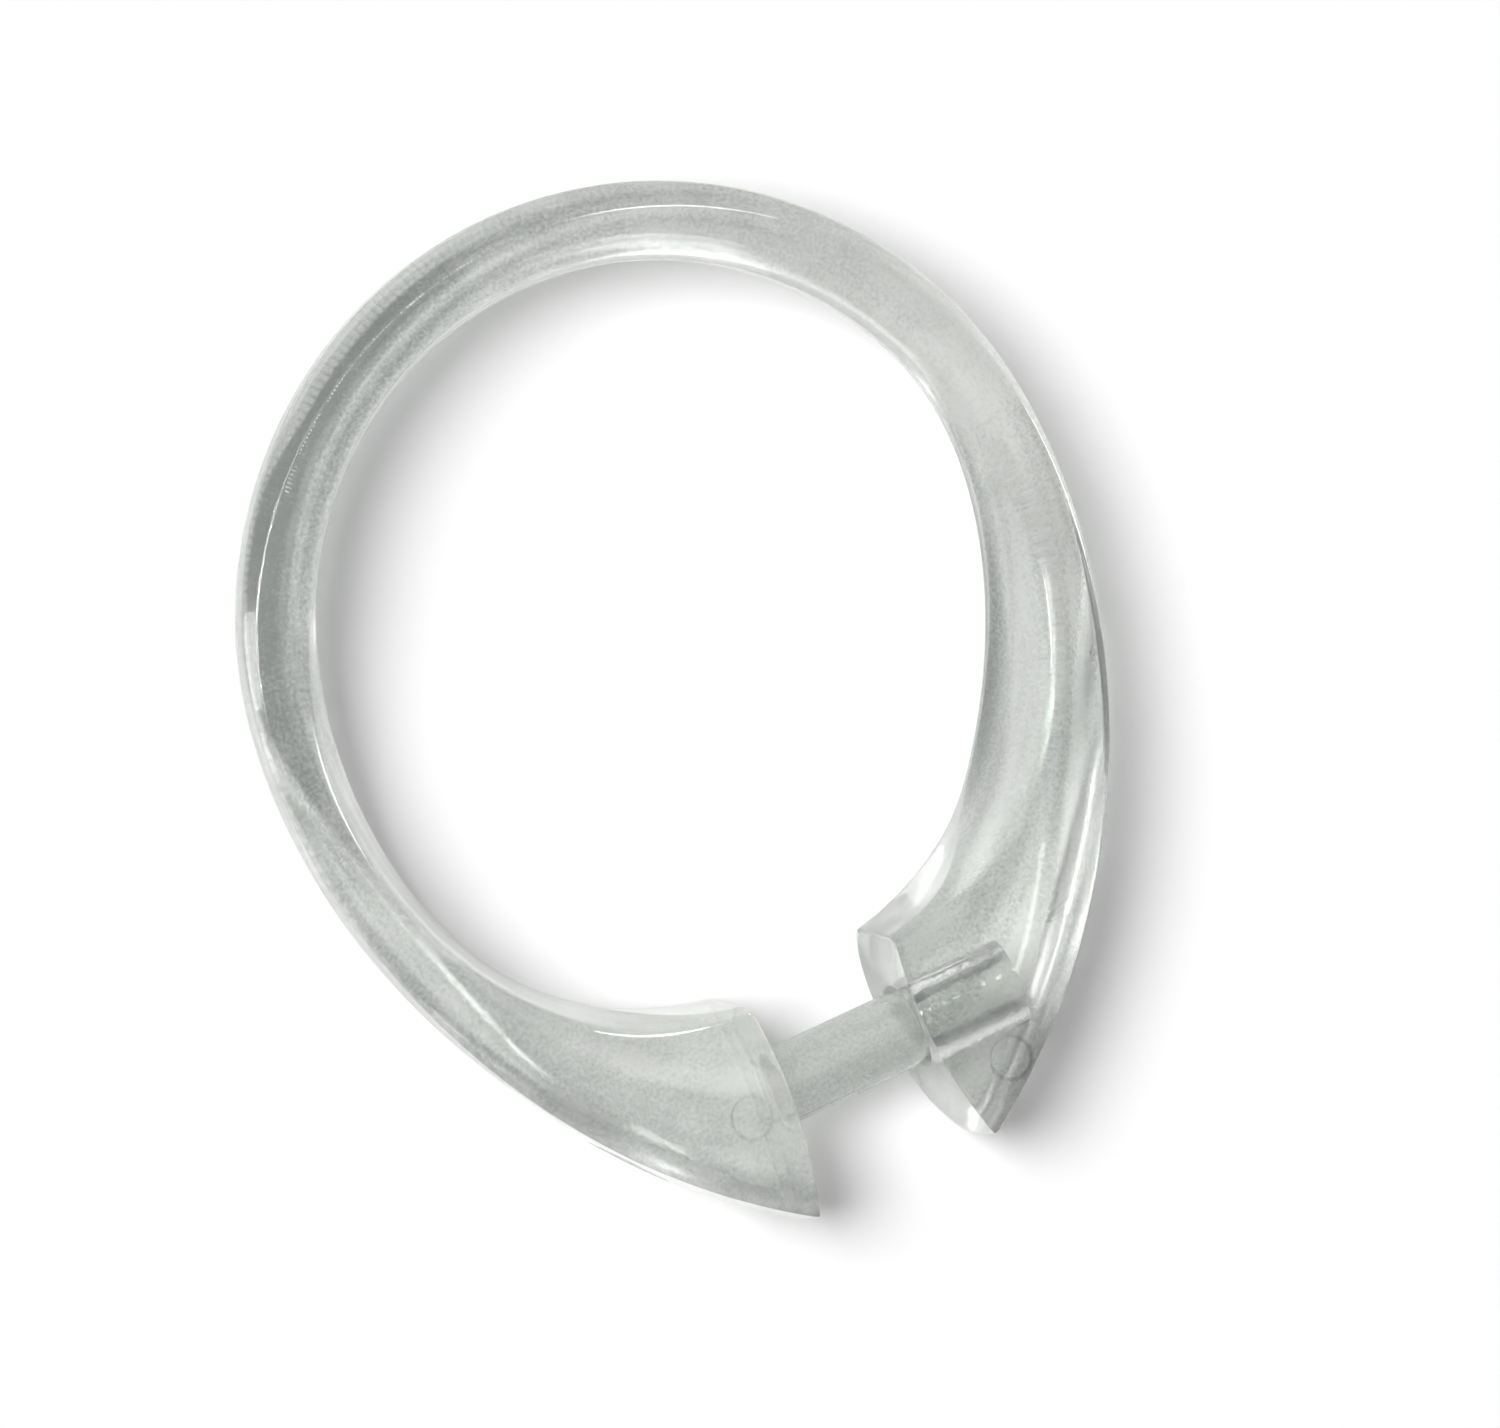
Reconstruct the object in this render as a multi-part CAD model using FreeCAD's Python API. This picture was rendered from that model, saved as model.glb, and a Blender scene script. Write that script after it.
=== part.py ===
import FreeCAD
import Part
import math
import os

# A snap-together curtain ring, moulded in one piece.  All sizes are in millimetres.
# X runs from the head with the peg to the head with the socket, Y from the heads up to the
# top of the ring, and Z from the ring's back to its flat front.  The origin is on the axis
# of the round band, level with the heads' flat backs.

# Round band
band_outer_radius = 30.7
band_width = 5.5
band_inner_depth = 2.3
band_outer_depth = 2.6
band_end_angle = 26.0

# Opening and heads
opening_height = 51.4
head_length = 15.5
head_depth = 9.2
head_edge = 0.45
gap_half_width = 5.4
crown_radius = 33.0
crown_below_top = 5.3

# Side curves, from the end of the round band to the head
outer_pull_from_band = 17.4
outer_pull_inside_band = 3.1
outer_pull_above_tip = 12.9
inner_pull_from_band = 14.8
inner_pull_beside_top = 15.3
inner_pull_above_top = 2.35

# Rounded back
back_corner = 1.4
back_swell = 1.1
wall_lean = 0.7

# Bevel round the outer edge, as a cubic curve of its depth from the ring's top to the head
bevel_depths = [1.5, 1.6, 0.0, -0.3]
bevel_slope = 1.33

# Crease and slanted facet: shares of the width, as a cubic curve from the band to the end
# face, and shares of the inner wall's depth at the band, at the deepest place and at the end
crease_across = [0.11, 0.72, 0.2, 0.03]
facet_share_at_band = 0.6
facet_share_full = 0.93
facet_share_at_end = 0.18
facet_share_limit = 0.96

# Shares of the way from the band to the end face
inner_depth_reached = 0.7
outer_edge_starts = 0.4
outer_edge_reached = 0.8
fullness_starts = 0.25
facet_deepest = 0.68
facet_ends = 0.92
lean_starts = 0.7
lean_reached = 0.95

# Peg and socket
peg_diameter = 5.5
peg_below_top = 6.6
peg_below_front = 4.4
peg_tip_past_face = 1.75
peg_root = 3.0
socket_clearance = 0.35
socket_depth = 3.1

# Marks of the mould's ejector pins
mark_diameter = 3.0
mark_sink = 0.15
socket_head_mark_in = 3.2
socket_head_mark_up = 4.4
peg_head_mark_in = 1.7
peg_head_mark_up = 8.3

# Spacing of the cross-sections and the stock that is trimmed off
band_sections = 4
side_sections = 12
stock = 1.0
overrun = 2.4

band_inner_radius = band_outer_radius - band_width
head_top_y = band_inner_radius - opening_height
head_tip_y = head_top_y - head_length
crown_y = head_top_y - crown_below_top
peg_y = head_top_y - peg_below_top
peg_z = head_depth - peg_below_front


def crown_set_back(y):
    # How far the crowned end face lies behind its highest line, at height y
    return crown_radius - math.sqrt(crown_radius ** 2 - (y - crown_y) ** 2)


head_top_x = gap_half_width + crown_set_back(head_top_y)
head_tip_x = gap_half_width + crown_set_back(head_tip_y)


def cubic(values, t):
    a, b, c, d = values
    s = 1.0 - t
    return s ** 3 * a + 3.0 * s * s * t * b + 3.0 * s * t * t * c + t ** 3 * d


def ease(t, start, end):
    # Rises smoothly from 0 at the start to 1 at the end
    t = min(max((t - start) / (end - start), 0.0), 1.0)
    return t * t * (3.0 - 2.0 * t)


def on_band(radius, degrees):
    angle = math.radians(degrees)
    return [radius * math.cos(angle), radius * math.sin(angle)]


def on_from_band(radius, distance):
    # Point straight on from the end of the round band
    x, y = on_band(radius, band_end_angle)
    angle = math.radians(band_end_angle)
    return [x + distance * math.sin(angle), y - distance * math.cos(angle)]


def along_side(curve, t):
    # Point on a side curve; past its end it runs straight on into the stock
    if t <= 1.0:
        return [cubic([point[k] for point in curve], t) for k in (0, 1)]
    pull, end = curve[2], curve[3]
    length = math.hypot(end[0] - pull[0], end[1] - pull[1])
    return [end[k] + overrun * (end[k] - pull[k]) / length for k in (0, 1)]


def section(outer, inner, bevel, crease_share, facet_share, wall_depth, outer_depth, rise, lean):
    # One cross-section between the ring's outer and inner edge: flat front with stock above
    # it, slanted facet, inner wall, and four more points that draw the rounded back from the
    # inner wall to the outer one, which ends at the bevel.
    width = math.hypot(outer[0] - inner[0], outer[1] - inner[1])

    def at(across, depth):
        return FreeCAD.Vector(inner[0] + across * (outer[0] - inner[0]),
                              inner[1] + across * (outer[1] - inner[1]),
                              head_depth - depth)

    wall_bottom = wall_depth - back_corner * rise ** 2
    facet_depth = wall_bottom * facet_share
    above_bevel = 1.0 - bevel_slope * (bevel + stock) / width
    above_crease = crease_share * (1.0 + stock / facet_depth)
    slope = wall_depth - outer_depth
    middle_depth = outer_depth + slope * (0.5 + 0.5 * rise)
    low_depth = outer_depth + slope * (0.25 + 0.75 * rise)
    return [at(above_bevel, -stock),
            at(above_crease, -stock),
            at(0.0, facet_depth),
            at(-lean / width, wall_bottom),
            at(0.25 - 0.25 * rise, wall_depth + back_swell),
            at(0.5 + 0.3 * rise, middle_depth + back_swell),
            at(0.75 + 0.33 * rise, low_depth + 0.6 * back_swell),
            at(1.0, outer_depth),
            at(1.0, bevel)]


def band_section(degrees):
    # Section of the round band, from 90 degrees at the ring's top to the end angle
    share = 0.5 * (90.0 - degrees) / (90.0 - band_end_angle)
    return section(on_band(band_outer_radius, degrees), on_band(band_inner_radius, degrees),
                   cubic(bevel_depths, share), crease_across[0], facet_share_at_band,
                   band_inner_depth, band_outer_depth, 0.0, 0.0)


def side_section(t):
    # Section of the right side: t is 0 at the end of the round band, 1 at the end face
    outer_curve = [on_band(band_outer_radius, band_end_angle),
                   on_from_band(band_outer_radius, outer_pull_from_band),
                   [band_outer_radius - outer_pull_inside_band,
                    head_tip_y + outer_pull_above_tip],
                   [head_tip_x, head_tip_y]]
    inner_curve = [on_band(band_inner_radius, band_end_angle),
                   on_from_band(band_inner_radius, inner_pull_from_band),
                   [head_top_x + inner_pull_beside_top, head_top_y + inner_pull_above_top],
                   [head_top_x, head_top_y]]
    outer = along_side(outer_curve, t)
    inner = along_side(inner_curve, t)
    t = min(t, 1.0)
    facet_share = (facet_share_at_band
                   + (facet_share_full - facet_share_at_band) * ease(t, 0.0, facet_deepest)
                   - (facet_share_full - facet_share_at_end) * ease(t, facet_deepest, facet_ends))
    deepening = ease(t, 0.0, inner_depth_reached)
    thinning = ease(t, outer_edge_starts, outer_edge_reached)
    return section(outer, inner, cubic(bevel_depths, 0.5 + 0.5 * t), cubic(crease_across, t),
                   min(facet_share, facet_share_limit),
                   band_inner_depth + (head_depth - band_inner_depth) * deepening,
                   band_outer_depth - (band_outer_depth - head_edge) * thinning,
                   ease(t, fullness_starts, 1.0),
                   wall_lean * ease(t, lean_starts, lean_reached))


def all_sections():
    # From past the left end face, over the top of the ring, to past the right end face
    right = []
    for k in range(1, band_sections):
        right.append(band_section(90.0 - (90.0 - band_end_angle) * k / band_sections))
    for k in range(side_sections + 1):
        right.append(side_section(k / side_sections))
    right.append(side_section(2.0))
    left = []
    for points in reversed(right):
        left.append([FreeCAD.Vector(-point.x, point.y, point.z) for point in points])
    return left + [band_section(90.0)] + right


def skin_strip(sections, columns, parameters):
    # Smooth face round the whole ring, through neighbouring points of every section
    rows = []
    for column in columns:
        curve = Part.BSplineCurve()
        curve.interpolate(Points=[points[column] for points in sections],
                          Parameters=parameters)
        rows.append(curve.getPoles())
    degree = len(columns) - 1
    surface = Part.BSplineSurface()
    surface.buildFromPolesMultsKnots([list(poles) for poles in zip(*rows)],
                                     curve.getMultiplicities(), [degree + 1, degree + 1],
                                     curve.getKnots(), [0.0, 1.0], False, False, 3, degree)
    return surface.toShape()


def end_cap(points):
    # Flat face over the skin's first or last section
    back = Part.BezierCurve()
    back.setPoles(points[3:8])
    edges = [Part.LineSegment(points[k], points[k + 1]).toShape() for k in range(3)]
    edges.append(back.toShape())
    edges.append(Part.LineSegment(points[7], points[8]).toShape())
    edges.append(Part.LineSegment(points[8], points[0]).toShape())
    return Part.Face(Part.Wire(edges))


def ring_blank():
    # Closed ring: the skin round all sections, trimmed flat in front and on the heads' backs
    sections = all_sections()
    parameters = [0.0]
    for before, after in zip(sections, sections[1:]):
        step = (after[7] - before[7]).Length + (after[3] - before[3]).Length
        parameters.append(parameters[-1] + step)
    faces = []
    for columns in ([0, 1], [1, 2], [2, 3], [3, 4, 5, 6, 7], [7, 8], [8, 0]):
        faces.append(skin_strip(sections, columns, parameters))
    faces.append(end_cap(sections[0]))
    faces.append(end_cap(sections[-1]))
    skin = Part.Shell(faces)
    skin.sewShape()
    body = Part.Solid(skin)
    if body.Volume < 0.0:
        body.reverse()
    reach = 3.0 * max(band_outer_radius, -head_tip_y)
    slab = Part.makeBox(reach, reach, head_depth,
                        FreeCAD.Vector(-reach / 2.0, -reach / 2.0, 0.0))
    return body.common(slab)


def gap_between_heads():
    # The space between the crowned end faces, from above the heads to below their tips
    top = head_top_y + overrun + stock
    bottom = head_tip_y - overrun - stock

    def face_point(side, y):
        return FreeCAD.Vector(side * (gap_half_width + crown_set_back(y)), y, -stock)

    right_face = Part.Arc(face_point(1, top), face_point(1, crown_y), face_point(1, bottom))
    left_face = Part.Arc(face_point(-1, bottom), face_point(-1, crown_y), face_point(-1, top))
    below = Part.LineSegment(face_point(1, bottom), face_point(-1, bottom))
    above = Part.LineSegment(face_point(-1, top), face_point(1, top))
    outline = Part.Wire([edge.toShape() for edge in (right_face, below, left_face, above)])
    return Part.Face(outline).extrude(FreeCAD.Vector(0, 0, head_depth + 2.0 * stock))


def peg():
    # Round peg with a domed tip, from inside the left head to just inside the socket
    radius = peg_diameter / 2.0
    root_x = -gap_half_width - peg_root
    dome_x = gap_half_width + peg_tip_past_face - radius
    shank = Part.makeCylinder(radius, dome_x - root_x, FreeCAD.Vector(root_x, peg_y, peg_z),
                              FreeCAD.Vector(1, 0, 0))
    return shank.fuse(Part.makeSphere(radius, FreeCAD.Vector(dome_x, peg_y, peg_z)))


def socket():
    # Blind round hole in the right head, from the gap to the socket's flat bottom
    return Part.makeCylinder(peg_diameter / 2.0 + socket_clearance, stock + socket_depth,
                             FreeCAD.Vector(gap_half_width - stock, peg_y, peg_z),
                             FreeCAD.Vector(1, 0, 0))


def ejector_mark(x, y):
    # Shallow round dent in the flat front
    return Part.makeCylinder(mark_diameter / 2.0, mark_sink + stock,
                             FreeCAD.Vector(x, y, head_depth - mark_sink),
                             FreeCAD.Vector(0, 0, 1))


ring = ring_blank().cut(gap_between_heads())
ring = ring.cut(socket())
ring = ring.fuse(peg())
ring = ring.cut(ejector_mark(head_tip_x + socket_head_mark_in,
                             head_tip_y + socket_head_mark_up))
ring = ring.cut(ejector_mark(-head_tip_x - peg_head_mark_in,
                             head_tip_y + peg_head_mark_up))
ring = ring.Solids[0]
print("curtain_ring", ring.isValid(), len(ring.Faces), "faces", round(ring.Volume), "mm3")

os.makedirs("parts", exist_ok=True)
ring.exportStep("parts/curtain_ring.step")
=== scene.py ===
import math
import bpy
from mathutils import Matrix, Vector


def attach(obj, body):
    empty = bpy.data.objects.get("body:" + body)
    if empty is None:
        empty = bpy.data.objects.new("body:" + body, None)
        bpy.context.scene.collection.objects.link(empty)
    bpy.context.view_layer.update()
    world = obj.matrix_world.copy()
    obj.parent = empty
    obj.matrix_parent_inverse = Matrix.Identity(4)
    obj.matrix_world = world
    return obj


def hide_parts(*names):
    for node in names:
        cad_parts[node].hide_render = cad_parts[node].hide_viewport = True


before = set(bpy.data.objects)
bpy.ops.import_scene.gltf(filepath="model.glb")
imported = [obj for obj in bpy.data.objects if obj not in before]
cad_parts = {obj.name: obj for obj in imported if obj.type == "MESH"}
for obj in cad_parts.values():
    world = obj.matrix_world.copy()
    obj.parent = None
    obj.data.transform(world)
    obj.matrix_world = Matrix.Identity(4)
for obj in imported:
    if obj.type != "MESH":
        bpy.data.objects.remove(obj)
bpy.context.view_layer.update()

mm = 0.001


class Value:
    # One output of a node: sums and products on it add their own Math nodes
    def __init__(self, nodes, socket):
        self.nodes = nodes
        self.socket = socket

    def math(self, operation, *others, after=True):
        values = [self, *others] if after else [*others, self]
        return self.nodes.add("ShaderNodeMath", {"operation": operation}, dict(enumerate(values)))

    def __add__(self, other):
        return self.math("ADD", other)

    def __sub__(self, other):
        return self.math("SUBTRACT", other)

    def __rsub__(self, other):
        return self.math("SUBTRACT", other, after=False)

    def __mul__(self, other):
        return self.math("MULTIPLY", other)

    def __truediv__(self, other):
        return self.math("DIVIDE", other)

    def __pow__(self, other):
        return self.math("POWER", other)

    __radd__ = __add__
    __rmul__ = __mul__

    def least(self, other):
        return self.math("MINIMUM", other)

    def most(self, other):
        return self.math("MAXIMUM", other)

    def sine(self):
        return self.math("SINE")

    def cosine(self):
        return self.math("COSINE")


class Nodes:
    # Adds nodes to one tree: the settings are set first, then the sockets
    def __init__(self, tree):
        self.tree = tree

    def add(self, kind, settings=None, values=None, output=0):
        node = self.tree.nodes.new(kind)
        for name, setting in (settings or {}).items():
            setattr(node, name, setting)
        for name, value in (values or {}).items():
            if isinstance(value, Value):
                self.tree.links.new(value.socket, node.inputs[name])
            else:
                node.inputs[name].default_value = value
        return Value(self, node.outputs[output])

    def other(self, value, output):
        # Another output of the node that gave this value
        return Value(self, value.socket.node.outputs[output])

    def smooth(self, value, start, stop, low=0.0, high=1.0):
        return self.add("ShaderNodeMapRange", {"interpolation_type": "SMOOTHSTEP", "clamp": True},
                        {"Value": value, "From Min": start, "From Max": stop, "To Min": low, "To Max": high})

    def vector(self, x, y, z=0.0):
        return self.add("ShaderNodeCombineXYZ", None, {"X": x, "Y": y, "Z": z})

    def split(self, place):
        x = self.add("ShaderNodeSeparateXYZ", None, {0: place})
        return x, self.other(x, 1), self.other(x, 2)

    def along(self, first, second, share):
        # The point at a share of the way between two points
        return self.add("ShaderNodeMix", {"data_type": "VECTOR", "clamp_factor": False},
                        {0: share, 4: first, 5: second}, output=1)

    def blend(self, share, first, second):
        return self.add("ShaderNodeMix", {"data_type": "RGBA"}, {0: share, 6: first, 7: second}, output=2)

    def noise(self, place, scale, detail, rough):
        return self.add("ShaderNodeTexNoise", {"noise_dimensions": "3D"},
                        {"Vector": place, "Scale": scale, "Detail": detail, "Roughness": rough})


# The ring's sizes, in millimetres and degrees: a round band that opens into two thick heads
ringSizes = {
    "Band Radius": 30.7,
    "Band Width": 5.5,
    "Band Inner Depth": 2.3,
    "Band Outer Depth": 2.6,
    "Band End Angle": 26.0,
    "Opening Height": 51.4,
    "Head Length": 15.5,
    "Head Depth": 9.2,
    "Head Edge": 0.45,
    "Half Gap": 5.4,
    "Crown Radius": 33.0,
    "Crown Below Top": 5.3,
    "Bevel Slope": 1.33,
    "Back Corner": 1.4,
    "Back Swell": 1.1,
    "Wall Lean": 0.7,
    "Edge Radius": 0.16,                   # the small rounding that polishing leaves on every edge
    "Crease Radius": 0.9,
    "Peg Diameter": 5.5,
    "Peg Below Top": 6.6,
    "Peg Below Front": 4.4,
    "Peg Past Face": 1.75,
    "Peg Root": 0.3,
    "Socket Clearance": 0.35,
    "Socket Depth": 7.9,
    "Socket Rim": 0.12,
    "Socket Ripple": 0.04,                 # the draw marks of its core pin
    "Rib Height": 0.07,
    "Rib Count": 108.0,                    # over the half of the band where they stand
    "Mark Radius": 1.5,
    "Mark Sink": 0.15,
}
# How those sizes run along the ring, where 0 is its top or the end of its band and 1 a head's end face
ringRun = {
    "bevelDeep": (1.5, 1.6, 0.0, -0.3),
    "bevelLeast": 0.02,
    "outerPulls": (17.4, 3.1, 12.9),       # past the band's end, inside the band, above the tip
    "innerPulls": (14.8, 15.3, 2.35),      # past the band's end, beside and above the head's top
    "creaseAcross": (0.11, 0.72, 0.2, 0.03),
    "facetShares": (0.6, 0.93, 0.18),
    "facetTurns": (0.68, 0.92),
    "deepBy": 0.7,
    "thinsFrom": (0.4, 0.8),
    "fullFrom": 0.25,
    "backAcross": ((0.25, 0.0), (0.5, 0.8), (0.75, 1.08)),   # the back's pulls, on the band and on a head
    "backRise": ((0.5, 1.0), (0.25, 1.0)),
    "lowSwell": 0.6,
    "backSoft": 0.5,                       # how softly the back runs out into a head's flat back
    "sideLeast": 0.001,
    "cornerMost": 0.42,                    # of a side's length
    "creaseRound": (0.4, 0.05),            # its share of the facet's width, and the least of it
    "endShort": 0.008,                     # what the side lines leave to the rounded edge
    "leansFrom": (0.7, 0.95),
    "ribsFrom": (0.02, 0.14),
    "ribsUntil": (0.72, 0.95),
    "ribsAcross": (0.5, 0.62),
    "ribsDeep": (2.3, 1.7),
    "ripple": ((1.6, 0.8), 2.0, 0.6),      # scale along the socket and round it, detail and roughness
    "rippleSwing": 4.0,                    # brings the pattern's swing up to the ripple's size
    "rippleFrom": 0.06,
    "marks": ((3.2, 4.4, 1.0), (1.7, 8.3, -1.0)),   # in from a head's tip, up from it, and its side
}
ringMesh = {
    "band": 320,                           # sections from the top to the band's end
    "side": 110,
    "sides": (12, 8, 5, 22, 5, 8),         # points along front, facet, inner wall, back, outer wall and bevel
    "corner": 4,                           # points round each edge
    "capRows": (4, 12, 4, 40, 10),         # edge, end face, rim, wall, and dome or bottom
    "weld": 2e-7,
    "markSides": 48,
    "sharpFrom": 50.0,                     # degrees
}


def cubic(values, t):
    a, b, c, d = values
    s = 1.0 - t
    return s * s * s * a + s * s * t * 3.0 * b + s * t * t * 3.0 * c + t * t * t * d


def ringTree():
    tree = bpy.data.node_groups.new("clearRing", "GeometryNodeTree")
    sockets = tree.interface
    for name, size in ringSizes.items():
        sockets.new_socket(name, in_out="INPUT", socket_type="NodeSocketFloat").default_value = size
    sockets.new_socket("Plastic", in_out="INPUT", socket_type="NodeSocketMaterial")
    sockets.new_socket("Ring", in_out="OUTPUT", socket_type="NodeSocketGeometry")
    nodes = Nodes(tree)
    entry = tree.nodes.new("NodeGroupInput")
    size = {item.name: Value(nodes, item) for item in entry.outputs if item.name}

    bandRows, sideRows = ringMesh["band"], ringMesh["side"]
    halfRows = bandRows + sideRows
    capCount = sum(ringMesh["capRows"])
    around = sum(ringMesh["sides"]) + len(ringMesh["sides"]) * ringMesh["corner"] + 1
    rows = 2 * (halfRows + capCount) + 1
    grid = nodes.add("GeometryNodeMeshGrid", None, {"Vertices X": rows, "Vertices Y": around})

    # which section and which point of it each vertex is
    index = nodes.add("GeometryNodeInputIndex")
    row = (index / float(around)).math("FLOOR")
    column = (index - row * float(around)).math("MODULO", float(around - 1))
    station = row - float(halfRows + capCount)
    side = station.math("SIGN")
    station = station.math("ABSOLUTE")
    onBand = (station / float(bandRows)).least(1.0)
    t = ((station - float(bandRows)) / float(sideRows)).least(1.0).most(0.0)
    past = (station - float(halfRows)).most(0.0)

    # the last bit of each side line is left to the rounded edge
    stage = []
    start = 0
    for count in ringMesh["capRows"]:
        stage.append(((past - float(start)) / float(count)).most(0.0).least(1.0))
        start += count
    edgeLeft = (1.0 - stage[0]) * (1.0 - stage[0])
    t = t * (1.0 - edgeLeft * ringRun["endShort"])

    # the outer and the inner line that the sections stand between
    def crown(y):
        down = y - (size["Crown Top"] - size["Crown Below Top"])
        radius = size["Crown Radius"]
        return size["Half Gap"] + radius - (radius * radius - down * down) ** 0.5

    innerRadius = size["Band Radius"] - size["Band Width"]
    topY = innerRadius - size["Opening Height"]
    size["Crown Top"] = topY
    tipY = topY - size["Head Length"]
    endAngle = size["Band End Angle"].math("RADIANS")
    endCos, endSin = endAngle.cosine(), endAngle.sine()
    angle = math.pi / 2.0 - (math.pi / 2.0 - endAngle) * onBand
    turn = nodes.vector(angle.cosine(), angle.sine())

    def scaled(way, length):
        return nodes.add("ShaderNodeVectorMath", {"operation": "SCALE"}, {0: way, "Scale": length})

    def plus(first, second, operation="ADD"):
        return nodes.add("ShaderNodeVectorMath", {"operation": operation}, {0: first, 1: second})

    def lengthOf(way):
        return nodes.add("ShaderNodeVectorMath", {"operation": "LENGTH"}, {0: way}, output=1)

    def bezier(points, share):
        # Any Bezier curve, by repeated mixing of its pulls
        while len(points) > 1:
            points = [nodes.along(a, b, share) for a, b in zip(points, points[1:])]
        return points[0]

    def rail(radius, ahead, pull, end):
        bandEnd = nodes.vector(radius * endCos, radius * endSin)
        away = nodes.vector(radius * endCos + endSin * ahead, radius * endSin - endCos * ahead)
        onSide = bezier([bandEnd, away, pull, end], t)
        offBand = (station - float(bandRows)).math("GREATER_THAN", 0.0)
        return nodes.along(scaled(turn, radius), onSide, offBand)

    outward, inside, above = ringRun["outerPulls"]
    outer = rail(size["Band Radius"], outward, nodes.vector(size["Band Radius"] - inside, tipY + above),
                 nodes.vector(crown(tipY), tipY))
    outward, beside, above = ringRun["innerPulls"]
    inner = rail(innerRadius, outward, nodes.vector(crown(topY) + beside, topY + above),
                 nodes.vector(crown(topY), topY))

    # the section at this place
    width = lengthOf(plus(outer, inner, "SUBTRACT"))
    atBand, full, atEnd = ringRun["facetShares"]
    deepest, ends = ringRun["facetTurns"]
    facetShare = nodes.smooth(t, 0.0, deepest, atBand, full)
    facetShare = facetShare - nodes.smooth(t, deepest, ends, 0.0, full - atEnd)
    innerDepth = nodes.smooth(t, 0.0, ringRun["deepBy"], size["Band Inner Depth"], size["Head Depth"])
    outerDepth = nodes.smooth(t, *ringRun["thinsFrom"], size["Band Outer Depth"], size["Head Edge"])
    fullness = nodes.smooth(t, ringRun["fullFrom"], 1.0)
    bevel = cubic(ringRun["bevelDeep"], (onBand + t) * 0.5).most(ringRun["bevelLeast"])
    lean = nodes.smooth(t, *ringRun["leansFrom"], 0.0, size["Wall Lean"])
    crease = cubic(ringRun["creaseAcross"], t)
    rise = innerDepth - outerDepth
    swell = size["Back Swell"]

    def between(pair):
        return pair[0] + fullness * (pair[1] - pair[0])

    byWall, inMiddle, byEdge = [between(pair) for pair in ringRun["backAcross"]]
    middle, low = [outerDepth + rise * between(pair) for pair in ringRun["backRise"]]
    wallBottom = innerDepth - size["Back Corner"] * fullness * fullness
    back = [nodes.vector(lean * -1.0, wallBottom),
            nodes.vector(width * byWall, innerDepth + swell),
            nodes.vector(width * inMiddle, middle + swell),
            nodes.vector(width * byEdge, low + swell * ringRun["lowSwell"]),
            nodes.vector(width, outerDepth)]
    corners = [nodes.vector(width - bevel * size["Bevel Slope"], 0.0),
               nodes.vector(crease * width, 0.0),
               nodes.vector(0.0, wallBottom * facetShare),
               back[0], back[4], nodes.vector(width, bevel)]

    # each side of the outline, and the cuts where its rounded corners start and stop
    edge = size["Edge Radius"]
    most = ringRun["cornerMost"]
    creaseShare, leastRound = ringRun["creaseRound"]
    creaseRadius = (crease * width * creaseShare + leastRound).least(size["Crease Radius"])
    radii = [edge, creaseRadius, edge, edge, edge, edge]
    sides = len(corners)
    cuts = []
    for k in range(sides):
        after = (k + 1) % sides
        total = lengthOf(plus(corners[after], corners[k], "SUBTRACT")).most(ringRun["sideLeast"])
        cuts.append(((radii[k] / total).least(most), 1.0 - (radii[after] / total).least(most)))

    def onSide(k, share):
        if corners[k] is back[0]:
            return bezier(back, share)
        return nodes.along(corners[k], corners[(k + 1) % sides], share)

    pieces = []
    starts = []
    start = 0
    for k in range(sides):
        before, after = onSide((k - 1) % sides, cuts[k - 1][1]), onSide(k, cuts[k][0])
        share = (column - float(start)) / float(ringMesh["corner"])
        pieces.append(bezier([before, corners[k], after], share))
        starts.append(start)
        start += ringMesh["corner"]
        count = ringMesh["sides"][k]
        share = (column - float(start)) / float(count)
        pieces.append(onSide(k, cuts[k][0] + (cuts[k][1] - cuts[k][0]) * share))
        starts.append(start)
        start += count
    outline = pieces[0]
    for begin, piece in zip(starts[1:], pieces[1:]):
        outline = nodes.add("GeometryNodeSwitch", {"input_type": "VECTOR"},
                            {0: column.math("GREATER_THAN", begin - 0.5), 1: outline, 2: piece})
    across, depth, _ = nodes.split(outline)

    # fine ribs across the bevelled strip, on the half of the band towards the peg
    start, stop = ringRun["ribsFrom"]
    ribs = nodes.smooth(onBand, start, stop)
    start, stop = ringRun["ribsUntil"]
    ribs = ribs * nodes.smooth(onBand, stop, start) * side.math("LESS_THAN", 0.0)
    ribs = ribs * nodes.smooth(depth, *ringRun["ribsDeep"])
    ribs = ribs * nodes.smooth(across / width, *ringRun["ribsAcross"])
    wave = (onBand * size["Rib Count"] * (2.0 * math.pi)).cosine()
    depth = depth + ribs * (0.5 - wave * 0.5) * size["Rib Height"]

    headDepth = size["Head Depth"]
    depth = depth.most(0.0).math("SMOOTH_MIN", headDepth, ringRun["backSoft"])
    place = nodes.along(inner, outer, across / width)
    x, y, _ = nodes.split(place)
    z = headDepth - depth

    # the lines run out onto the crowned end face
    endY = topY - size["Head Length"] * across / width
    endX = crown(topY) + (crown(tipY) - crown(topY)) * across / width
    near = t * t * t * t
    x = x + (crown(endY) - endX) * near * near

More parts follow.
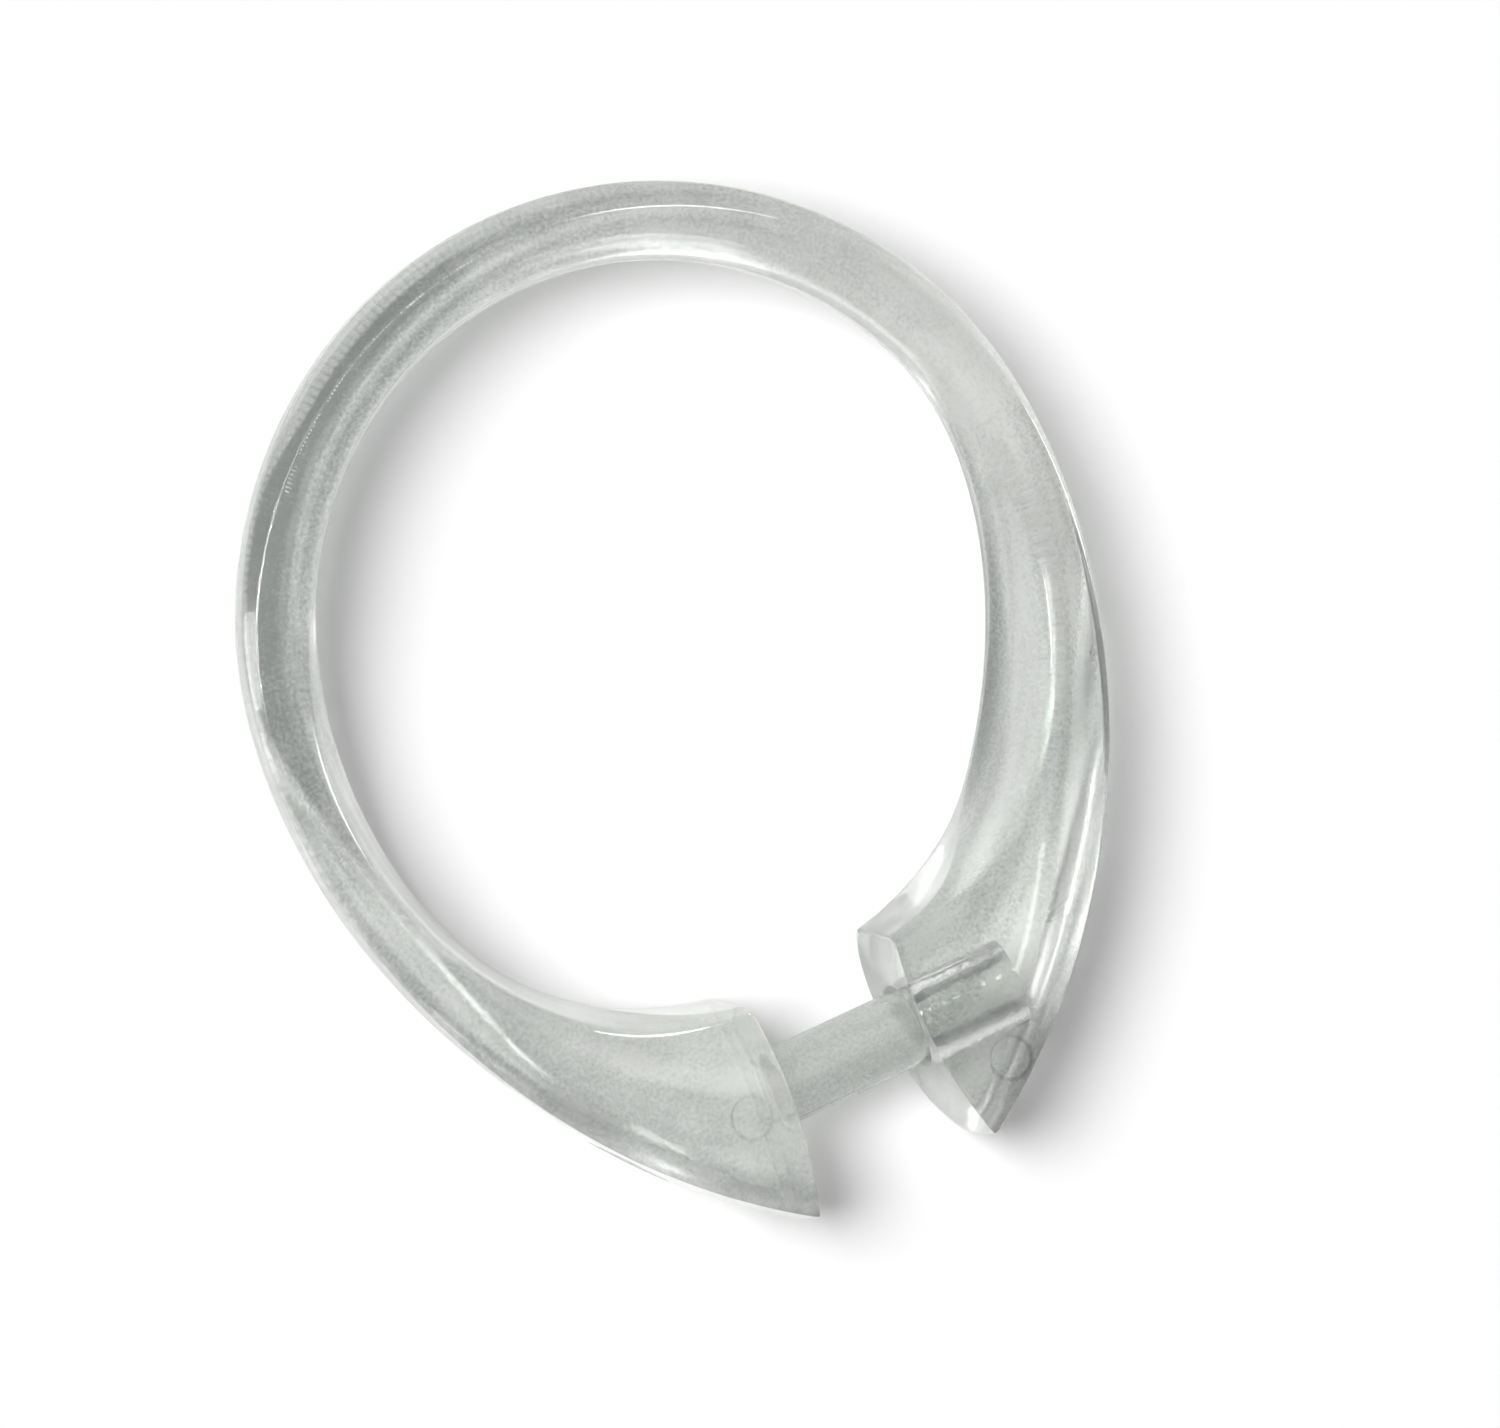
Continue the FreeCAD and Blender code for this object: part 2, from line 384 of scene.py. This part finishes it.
    # past the skin: edge, end face, rim, then the peg with its dome or the blind socket
    isPeg = side.math("LESS_THAN", 0.0)
    pegY = topY - size["Peg Below Top"]
    pegZ = headDepth - size["Peg Below Front"]
    radius = size["Peg Diameter"] * 0.5 + size["Socket Clearance"] * (1.0 - isPeg)
    rim = size["Socket Rim"] + (size["Peg Root"] - size["Socket Rim"]) * isPeg
    away = nodes.vector(0.0, y - pegY, z - pegZ)
    reach = lengthOf(away)
    onFace = reach - edge * stage[0] * stage[0]
    onFace = onFace + (radius + rim - onFace) * stage[1]
    onFace = onFace - rim * (1.0 - (1.0 - stage[2]) * (1.0 - stage[2]))
    turned = stage[4] * (math.pi / 2.0)
    spot = onFace * (turned.cosine() * isPeg + (1.0 - stage[4]) * (1.0 - isPeg))
    _, awayY, awayZ = nodes.split(away)
    faceY = pegY + awayY / reach * onFace
    faceX = x + crown(faceY) - crown(y)
    way = 1.0 - isPeg * 2.0
    wallX = faceX + rim * stage[2] * stage[2] * way
    domeX = (size["Half Gap"] + size["Peg Past Face"] - radius) * -1.0
    deepX = domeX * isPeg + (size["Half Gap"] + size["Socket Depth"]) * (1.0 - isPeg)
    capX = wallX + (deepX - wallX) * stage[3] - turned.sine() * radius * isPeg
    (lengthwise, roundwise), detail, rough = ringRun["ripple"]
    wave = nodes.vector(capX * lengthwise, awayY / reach * roundwise, awayZ / reach * roundwise)
    wave = nodes.noise(wave, 1.0, detail, rough) - 0.5
    inHole = (1.0 - isPeg) * nodes.smooth(stage[3], 0.0, ringRun["rippleFrom"]) * (1.0 - stage[4])
    spot = spot + wave * inHole * size["Socket Ripple"] * ringRun["rippleSwing"]
    isCap = past.math("GREATER_THAN", 0.5)
    y = y + (pegY + awayY / reach * spot - y) * isCap
    z = z + (pegZ + awayZ / reach * spot - z) * isCap
    x = x + (capX - x) * isCap
    place = nodes.vector(x * way * mm, y * mm, z * mm)

    # the skin with its place along, across and under the ring's front, then the two dents
    shell = nodes.add("GeometryNodeSetPosition", None, {"Geometry": grid, "Position": place})
    flow = nodes.vector((onBand + t) * side, across / width, depth)
    shell = nodes.add("GeometryNodeStoreNamedAttribute", {"data_type": "FLOAT_VECTOR", "domain": "POINT"},
                      {"Geometry": shell, "Name": "flow", 3: flow})
    shell = nodes.add("GeometryNodeFlipFaces", None, {"Mesh": shell})
    shell = nodes.add("GeometryNodeMergeByDistance", None, {"Geometry": shell, "Distance": ringMesh["weld"]})
    undented = shell
    for inwards, up, which in ringRun["marks"]:
        centre = nodes.vector((crown(tipY) + inwards) * which * mm, (tipY + up) * mm, headDepth * mm)
        dent = nodes.add("GeometryNodeMeshCylinder", None,
                         {"Vertices": ringMesh["markSides"], "Radius": size["Mark Radius"] * mm,
                          "Depth": size["Mark Sink"] * (2.0 * mm)})
        dent = nodes.add("GeometryNodeTransform", None, {"Geometry": dent, "Translation": centre})
        shell = nodes.add("GeometryNodeMeshBoolean", {"operation": "DIFFERENCE", "solver": "EXACT"},
                          {"Mesh 1": shell, "Mesh 2": dent})
    # the dents' cut clears the stored flow, so it is read again from the shell as it was
    here = nodes.add("GeometryNodeInputPosition")
    nearest = nodes.add("GeometryNodeSampleNearest", None, {"Geometry": undented, "Sample Position": here})
    stored = nodes.add("GeometryNodeInputNamedAttribute", {"data_type": "FLOAT_VECTOR"}, {"Name": "flow"})
    stored = nodes.add("GeometryNodeSampleIndex", {"data_type": "FLOAT_VECTOR", "domain": "POINT"},
                       {"Geometry": undented, "Value": stored, "Index": nearest})
    shell = nodes.add("GeometryNodeStoreNamedAttribute", {"data_type": "FLOAT_VECTOR", "domain": "POINT"},
                      {"Geometry": shell, "Name": "flow", 3: stored})
    shell = nodes.add("GeometryNodeRealizeInstances", None, {"Geometry": shell})
    shell = nodes.add("GeometryNodeSetMaterial", None, {"Geometry": shell, "Material": size["Plastic"]})
    out = tree.nodes.new("NodeGroupOutput")
    tree.links.new(shell.socket, out.inputs[0])
    return tree


def makeFromTree(name, tree, inputs):
    # Runs a tree on an empty object and keeps the result as a plain mesh
    holder = bpy.data.objects.new(name + "Holder", bpy.data.meshes.new(name + "Holder"))
    bpy.context.scene.collection.objects.link(holder)
    modifier = holder.modifiers.new("nodes", "NODES")
    modifier.node_group = tree
    for item in tree.interface.items_tree:
        if item.item_type == "SOCKET" and item.in_out == "INPUT" and item.name in inputs:
            modifier[item.identifier] = inputs[item.name]
    result = holder.evaluated_get(bpy.context.evaluated_depsgraph_get())
    mesh = bpy.data.meshes.new_from_object(result)
    mesh.name = name
    bpy.data.objects.remove(holder)
    piece = bpy.data.objects.new(name, mesh)
    bpy.context.scene.collection.objects.link(piece)
    return piece


plastic = {
    "lightTint": (0.89, 0.91, 0.88, 1.0),
    "darkTint": (0.24, 0.262, 0.245, 1.0),
    "barTint": (0.005, 0.007, 0.012, 1.0),
    "transmission": 0.84,
    "ior": 1.45,
    "hazeAlpha": 0.88,
    "clearAlpha": 0.97,
    "polished": 0.7,                       # how much of the socket head has no milk in it
    "clearRoughness": 0.03,
    "frostRoughness": 0.22,
    "pegRoughness": 0.45,
    "coatRoughness": 0.04,
    "grainStrength": 0.12,
    "grainDeep": 0.0001,
    # patterns: their scale along x, y and z or along the flow, their detail and their roughness
    "grain": (4.0, 2.0, 0.6),
    "cloud": (0.3, 1.0, 0.55),
    "streaks": ((2.4, 4.5, 0.35), 3.0, 0.6),
    "hairs": ((5.0, 17.0, 1.2), 2.0, 0.5),
    "bends": ((3.0, 5.0, 0.2), 1.0, 0.5),
    "jags": ((6.0, 1.2, 1.2), 2.0, 0.6),
    "frosted": (0.6, 1.2, 0.6),            # how much of the frost is even, in streaks and in hairs
    "clearSlant": 0.8,
    "sideSlant": 0.7,
    "lines": (0.36, 0.31),                 # where the painted dark lines start across the band, and how far they move
    "strip": (0.80, 0.1, 0.15),            # where the painted lighter outer strip starts, and its moves to the right and left
    "lined": (0.3, 0.7),                   # how strong the painted lines are on the right and on the left
    # how much each form, pattern or painted shade greys the plastic
    "greys": {
        "side": 0.30,
        "narrow": 0.5,
        "wide": 0.76,
        "strip": -0.36,
        "ribs": 0.34,
        "streaks": 0.55,
        "hairs": 0.4,
        "cloud": 0.5,
        "grain": 1.3,
        "clearHead": 0.10,
        "bends": 1.5,
        "peg": 0.12,
        "edge": 0.35,
        "face": 0.4,
        "innerWall": 0.7,
        "marks": (0.28, 0.22),             # everywhere, and more in the clear head
    },
    # where each of them sets in and where it is full, in millimetres or along and across the flow
    "zones": {
        "pegSkin": (2.95, 2.8),
        "pegEnd": (7.6, 7.3),
        "clearHead": (20.0, 31.0),
        "side": (-20.0, 30.0),
        "lineMoves": (-0.5, 0.75),
        "narrowIn": (-0.24, -0.13),
        "narrowOut": (0.0, -0.10),
        "stripRight": (-0.2, 0.7),
        "stripLeft": (-0.55, -0.8),
        "wideIn": (0.03, 0.12),
        "wideOut": (0.04, -0.03),
        "linedRight": (1.15, 0.2),
        "linedLeft": (0.1, -0.4),
        "linedEnd": (-1.6, -0.9),
        "stripIn": (-0.03, 0.04),
        "ribsIn": (-0.02, 0.03),
        "socketSkin": (3.7, 3.4),
        "socketIn": (5.9, 7.0),
        "edgeRun": (-1.2, -1.45),
        "edgeAcross": (0.8, 0.9),
        "edgeDeep": (6.0, 3.0),
        "faceRun": (1.985, 2.0),
        "faceUp": (-35.0, -27.0),
        "innerRun": (1.0, 1.35),
        "innerEnd": (1.85, 1.6),
        "innerAcross": (0.13, 0.03),
        "markLine": (0.22, 0.05),
        "markUp": (8.4, 8.9),
        "bar": (2.4, 2.65),
        "rimAcross": (0.72, 0.9),
        "rimRun": (1.4, 1.7),
    },
}


def headTop():
    return ringSizes["Band Radius"] - ringSizes["Band Width"] - ringSizes["Opening Height"]


def markPlaces():
    # the middles of the two dents, as the tree has them
    tipY = headTop() - ringSizes["Head Length"]
    radius = ringSizes["Crown Radius"]
    down = ringSizes["Head Length"] - ringSizes["Crown Below Top"]
    tipX = ringSizes["Half Gap"] + radius - (radius * radius - down * down) ** 0.5
    return [((tipX + inwards) * which, tipY + up) for inwards, up, which in ringRun["marks"]]


def clearPlastic():
    material = bpy.data.materials.new("clearPlastic")
    material.use_nodes = True
    nodes = Nodes(material.node_tree)
    place = nodes.add("ShaderNodeTexCoord", output="Object")
    place = nodes.add("ShaderNodeVectorMath", {"operation": "SCALE"}, {0: place, "Scale": 1.0 / mm})
    x, y, z = nodes.split(place)
    flow = nodes.add("ShaderNodeAttribute", {"attribute_name": "flow"}, output="Vector")
    run, across, deep = nodes.split(flow)
    greys = plastic["greys"]

    def zone(value, name):
        return nodes.smooth(value, *plastic["zones"][name])

    def pattern(name, *ways):
        scales, detail, rough = plastic[name]
        ways = [way * scale for way, scale in zip(ways, scales)]
        return nodes.noise(nodes.vector(*ways), 1.0, detail, rough) - 0.5

    # streaks that follow the band and the heads, cloudy patches and a fine grain
    streaks = pattern("streaks", run, across, deep)
    hairs = pattern("hairs", run, across, deep)
    cloud = nodes.noise(place, *plastic["cloud"]) - 0.5
    grain = nodes.noise(place, *plastic["grain"]) - 0.5

    # the peg, the polished head, the painted shade that greys the left side, and the socket's wall
    pegY = headTop() - ringSizes["Peg Below Top"]
    pegZ = ringSizes["Head Depth"] - ringSizes["Peg Below Front"]
    fromPeg = ((y - pegY) * (y - pegY) + (z - pegZ) * (z - pegZ)) ** 0.5
    isPeg = zone(fromPeg, "pegSkin") * zone(x, "pegEnd")
    skin = 1.0 - isPeg
    clearHead = zone(x - y * plastic["clearSlant"], "clearHead")
    # painted shade: greys the ring towards its upper left
    side = zone((y - x) * plastic["sideSlant"], "side")
    wall = zone(fromPeg, "socketSkin") * zone(x, "socketIn")

    # painted shade and painted light in the band: two dark lines follow it, moving outwards from its left to
    # its right, with a lighter outer strip and shaded ribs
    starts, moves = plastic["lines"]
    line = across - starts - zone(run, "lineMoves") * moves
    narrow = zone(line, "narrowIn") * zone(line, "narrowOut")
    starts, right, left = plastic["strip"]
    strip = across - (starts + zone(run, "stripRight") * right + zone(run, "stripLeft") * left)
    wide = zone(line, "wideIn") * zone(strip, "wideOut")
    right, left = plastic["lined"]
    lined = zone(run, "linedRight") * right + zone(run, "linedLeft") * zone(run, "linedEnd") * left
    ribs = (run * (ringSizes["Rib Count"] * math.pi)).sine() * zone(strip, "ribsIn")
    grey = narrow * greys["narrow"] + wide * greys["wide"] + zone(strip, "stripIn") * greys["strip"]
    grey = side * greys["side"] + lined * (grey + ribs * greys["ribs"])

    # milky streaks and bends in the clear head; then painted shade where the faces turn away from the light,
    # on the socket head's end face, along the peg head's outer edge and on the socket head's inner wall
    milk = streaks * greys["streaks"] + hairs * greys["hairs"] + cloud * greys["cloud"]
    grey = grey + (1.0 - clearHead) * skin * milk
    bends = pattern("bends", run, across, deep) * greys["bends"]
    grey = grey + clearHead * (greys["clearHead"] + bends) * skin * (1.0 - wall)
    grey = grey + grain * greys["grain"] + isPeg * greys["peg"]
    grey = grey + zone(run, "faceRun") * zone(y, "faceUp") * (1.0 - wall) * greys["face"]
    grey = grey + zone(run, "edgeRun") * zone(across, "edgeAcross") * zone(deep, "edgeDeep") * greys["edge"]
    innerWall = zone(run, "innerRun") * zone(run, "innerEnd") * zone(across, "innerAcross")
    grey = grey + innerWall * greys["innerWall"]

    # painted shade along the dents' edges
    everywhere, more = greys["marks"]
    for markX, markY in markPlaces():
        fromMark = ((x - markX) * (x - markX) + (y - markY) * (y - markY)) ** 0.5
        fromEdge = (fromMark - ringSizes["Mark Radius"]).math("ABSOLUTE")
        grey = grey + zone(fromEdge, "markLine") * zone(z, "markUp") * (everywhere + clearHead * more)
    tint = nodes.blend(grey.most(0.0).least(1.0), plastic["lightTint"], plastic["darkTint"])

    # the socket's upper and lower walls turn the light away, and between them it is matt
    bar = wall * zone((y - pegY).math("ABSOLUTE") + pattern("jags", x, y, z), "bar")
    tint = nodes.blend(bar, tint, plastic["barTint"])
    matte = wall * (1.0 - bar)

    even, inStreaks, inHairs = plastic["frosted"]
    frost = (1.0 - clearHead) * (even + streaks * inStreaks + hairs * inHairs)
    clearest, frosted = plastic["clearRoughness"], plastic["frostRoughness"]
    roughness = clearest + frost.most(0.0).least(1.0) * (frosted - clearest)
    roughness = roughness + isPeg * (plastic["pegRoughness"] - frosted) + matte * frosted
    alpha = plastic["hazeAlpha"] + clearHead * (plastic["clearAlpha"] - plastic["hazeAlpha"])
    bump = nodes.add("ShaderNodeBump", None, {"Height": grain, "Strength": plastic["grainStrength"],
                                              "Distance": plastic["grainDeep"]})

    # milky plastic, and the same plastic without the milk for the polished head
    links = material.node_tree.links
    milky = material.node_tree.nodes["Principled BSDF"]
    polished = material.node_tree.nodes.new("ShaderNodeBsdfPrincipled")
    for shader, transmission in ((milky, plastic["transmission"]), (polished, 1.0)):
        for name, value in (("Base Color", tint), ("Roughness", roughness), ("Alpha", alpha),
                            ("Normal", bump), ("Coat Weight", skin)):
            links.new(value.socket, shader.inputs[name])
        shader.inputs["IOR"].default_value = plastic["ior"]
        shader.inputs["Transmission Weight"].default_value = transmission
        shader.inputs["Coat Roughness"].default_value = plastic["coatRoughness"]
    rim = zone(across, "rimAcross") * zone(run, "rimRun")
    share = clearHead * skin * (1.0 - matte) * (1.0 - rim) * plastic["polished"]
    both = nodes.add("ShaderNodeMixShader", None, {"Fac": share, 1: Value(nodes, milky.outputs[0]),
                                                   2: Value(nodes, polished.outputs[0])})
    links.new(both.socket, material.node_tree.nodes["Material Output"].inputs["Surface"])
    return material


clear = clearPlastic()
print("plastic made")
ring = makeFromTree("curtainRing", ringTree(), {**ringSizes, "Plastic": clear})
for polygon in ring.data.polygons:
    polygon.use_smooth = True
ring.data.set_sharp_from_angle(angle=math.radians(ringMesh["sharpFrom"]))
weighted = ring.modifiers.new("evenNormals", "WEIGHTED_NORMAL")
weighted.keep_sharp = True
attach(ring, "root")
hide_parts("curtain_ring")
print("ring mesh", len(ring.data.vertices), "points", len(ring.data.polygons), "faces")

cameraView = {
    "picture": (1500.0, 1428.0),
    "sensor": 36.0,
    "sideways": 17.0,                      # degrees the camera stands to the peg head's side
    "upwards": 5.476,                      # degrees it stands towards the top of the ring
    "turn": 24.669,                        # degrees the ring is turned in the picture
    "distance": 0.8276,                    # metres
    "focal": 288.0,
    "aimed": (721.99, 736.47),             # where the aimed point lies in the picture
    "aimY": -8.483,                        # where it lies up the ring, in millimetres
}


def addCamera():
    side = math.radians(cameraView["sideways"])
    rise = math.radians(cameraView["upwards"])
    turn = math.radians(cameraView["turn"])
    towards = Vector((-math.sin(side) * math.cos(rise), math.sin(rise), math.cos(side) * math.cos(rise)))
    across = (Vector((1, 0, 0)) - towards * towards.x).normalized()
    upright = towards.cross(across)
    right = across * math.cos(turn) - upright * math.sin(turn)
    up = across * math.sin(turn) + upright * math.cos(turn)
    camera = bpy.data.objects.new("camera", bpy.data.cameras.new("camera"))
    bpy.context.scene.collection.objects.link(camera)
    aim = Vector((0, cameraView["aimY"] * mm, ringSizes["Head Depth"] * mm))
    place = Matrix((right, up, towards)).transposed().to_4x4()
    place.translation = aim + towards * cameraView["distance"]
    camera.matrix_world = place
    camera.data.lens = cameraView["focal"]
    camera.data.sensor_width = cameraView["sensor"]
    wide, tall = cameraView["picture"]
    camera.data.shift_x = (wide / 2.0 - cameraView["aimed"][0]) / wide
    camera.data.shift_y = (cameraView["aimed"][1] - tall / 2.0) / wide
    bpy.context.scene.camera = camera
    return right, up


rightInPicture, upInPicture = addCamera()
print("camera stands")

floorSheet = {
    "half": 1.5,
    "under": 5e-5,                         # keeps it clear of the heads' backs
    "tint": (0.93, 0.93, 0.93, 1.0),
}


def addFloor():
    half, level = floorSheet["half"], -floorSheet["under"]
    mesh = bpy.data.meshes.new("floor")
    mesh.from_pydata([(-half, -half, level), (half, -half, level), (half, half, level), (-half, half, level)],
                     [], [(0, 1, 2, 3)])
    sheet = bpy.data.objects.new("floor", mesh)
    bpy.context.scene.collection.objects.link(sheet)
    paper = bpy.data.materials.new("paleFloor")
    paper.use_nodes = True
    inputs = paper.node_tree.nodes["Principled BSDF"].inputs
    inputs["Base Color"].default_value = floorSheet["tint"]
    inputs["Roughness"].default_value = 1.0
    inputs["Specular IOR Level"].default_value = 0.0
    mesh.materials.append(paper)
    return sheet


floor = addFloor()
print("floor laid")

lightSetup = {
    "room": 0.30,                          # soft light from all round
    "studio": 0.62,                        # how bright the pale studio looks in the plastic
    "key": 3.14,                           # with the room's light, this brings the floor up to white
    "keyLean": 39.0,                       # degrees from straight above
    "keyDrop": 7.0,                        # degrees the shadow falls below the picture's right
    "keySpread": 30.0,
    "boxAway": 0.6,
    # softboxes that only show as highlights: direction, half width in degrees, brightness
    "boxes": (((0.55, 0.56, 0.61), 10.0, 10.0),
              ((0.95, -0.10, 0.28), 7.0, 7.0),
              ((-0.80, 0.30, 0.50), 8.0, 5.0)),
}


def addLamp(name, kind, energy, shines, place=(0.0, 0.0, 0.0)):
    light = bpy.data.lights.new(name, kind)
    light.energy = energy
    lamp = bpy.data.objects.new(name, light)
    lamp.location = place
    lamp.rotation_euler = Vector(shines).to_track_quat("-Z", "Y").to_euler()
    bpy.context.scene.collection.objects.link(lamp)
    return lamp


def addLights():
    world = bpy.data.worlds.new("softRoom")
    world.use_nodes = True
    nodes = Nodes(world.node_tree)
    rays = nodes.add("ShaderNodeLightPath", output="Is Camera Ray")
    seen = rays.most(nodes.other(rays, "Is Glossy Ray")).most(nodes.other(rays, "Is Transmission Ray"))
    strength = lightSetup["room"] + seen * (lightSetup["studio"] - lightSetup["room"])
    background = world.node_tree.nodes["Background"]
    background.inputs["Color"].default_value = (1, 1, 1, 1)
    world.node_tree.links.new(strength.socket, background.inputs["Strength"])
    bpy.context.scene.world = world

    drop = math.radians(lightSetup["keyDrop"])
    lean = math.radians(lightSetup["keyLean"])
    shadowWay = rightInPicture * math.cos(drop) - upInPicture * math.sin(drop)
    shadowWay.z = 0.0
    shadowWay.normalize()
    shines = shadowWay * math.sin(lean) - Vector((0, 0, math.cos(lean)))
    key = addLamp("key", "SUN", lightSetup["key"], shines)
    key.data.angle = math.radians(lightSetup["keySpread"])
    key.data.cycles.use_multiple_importance_sampling = False

    away = lightSetup["boxAway"]
    for number, (way, halfWidth, glow) in enumerate(lightSetup["boxes"]):
        way = Vector(way).normalized()
        size = 2.0 * away * math.tan(math.radians(halfWidth))
        box = addLamp("softbox%d" % number, "AREA", glow * math.pi * size * size, -way, way * away)
        box.data.shape = "DISK"
        box.data.size = size
        box.visible_diffuse = False


addLights()
print("lights set")
bpy.context.scene.view_settings.view_transform = "Standard"
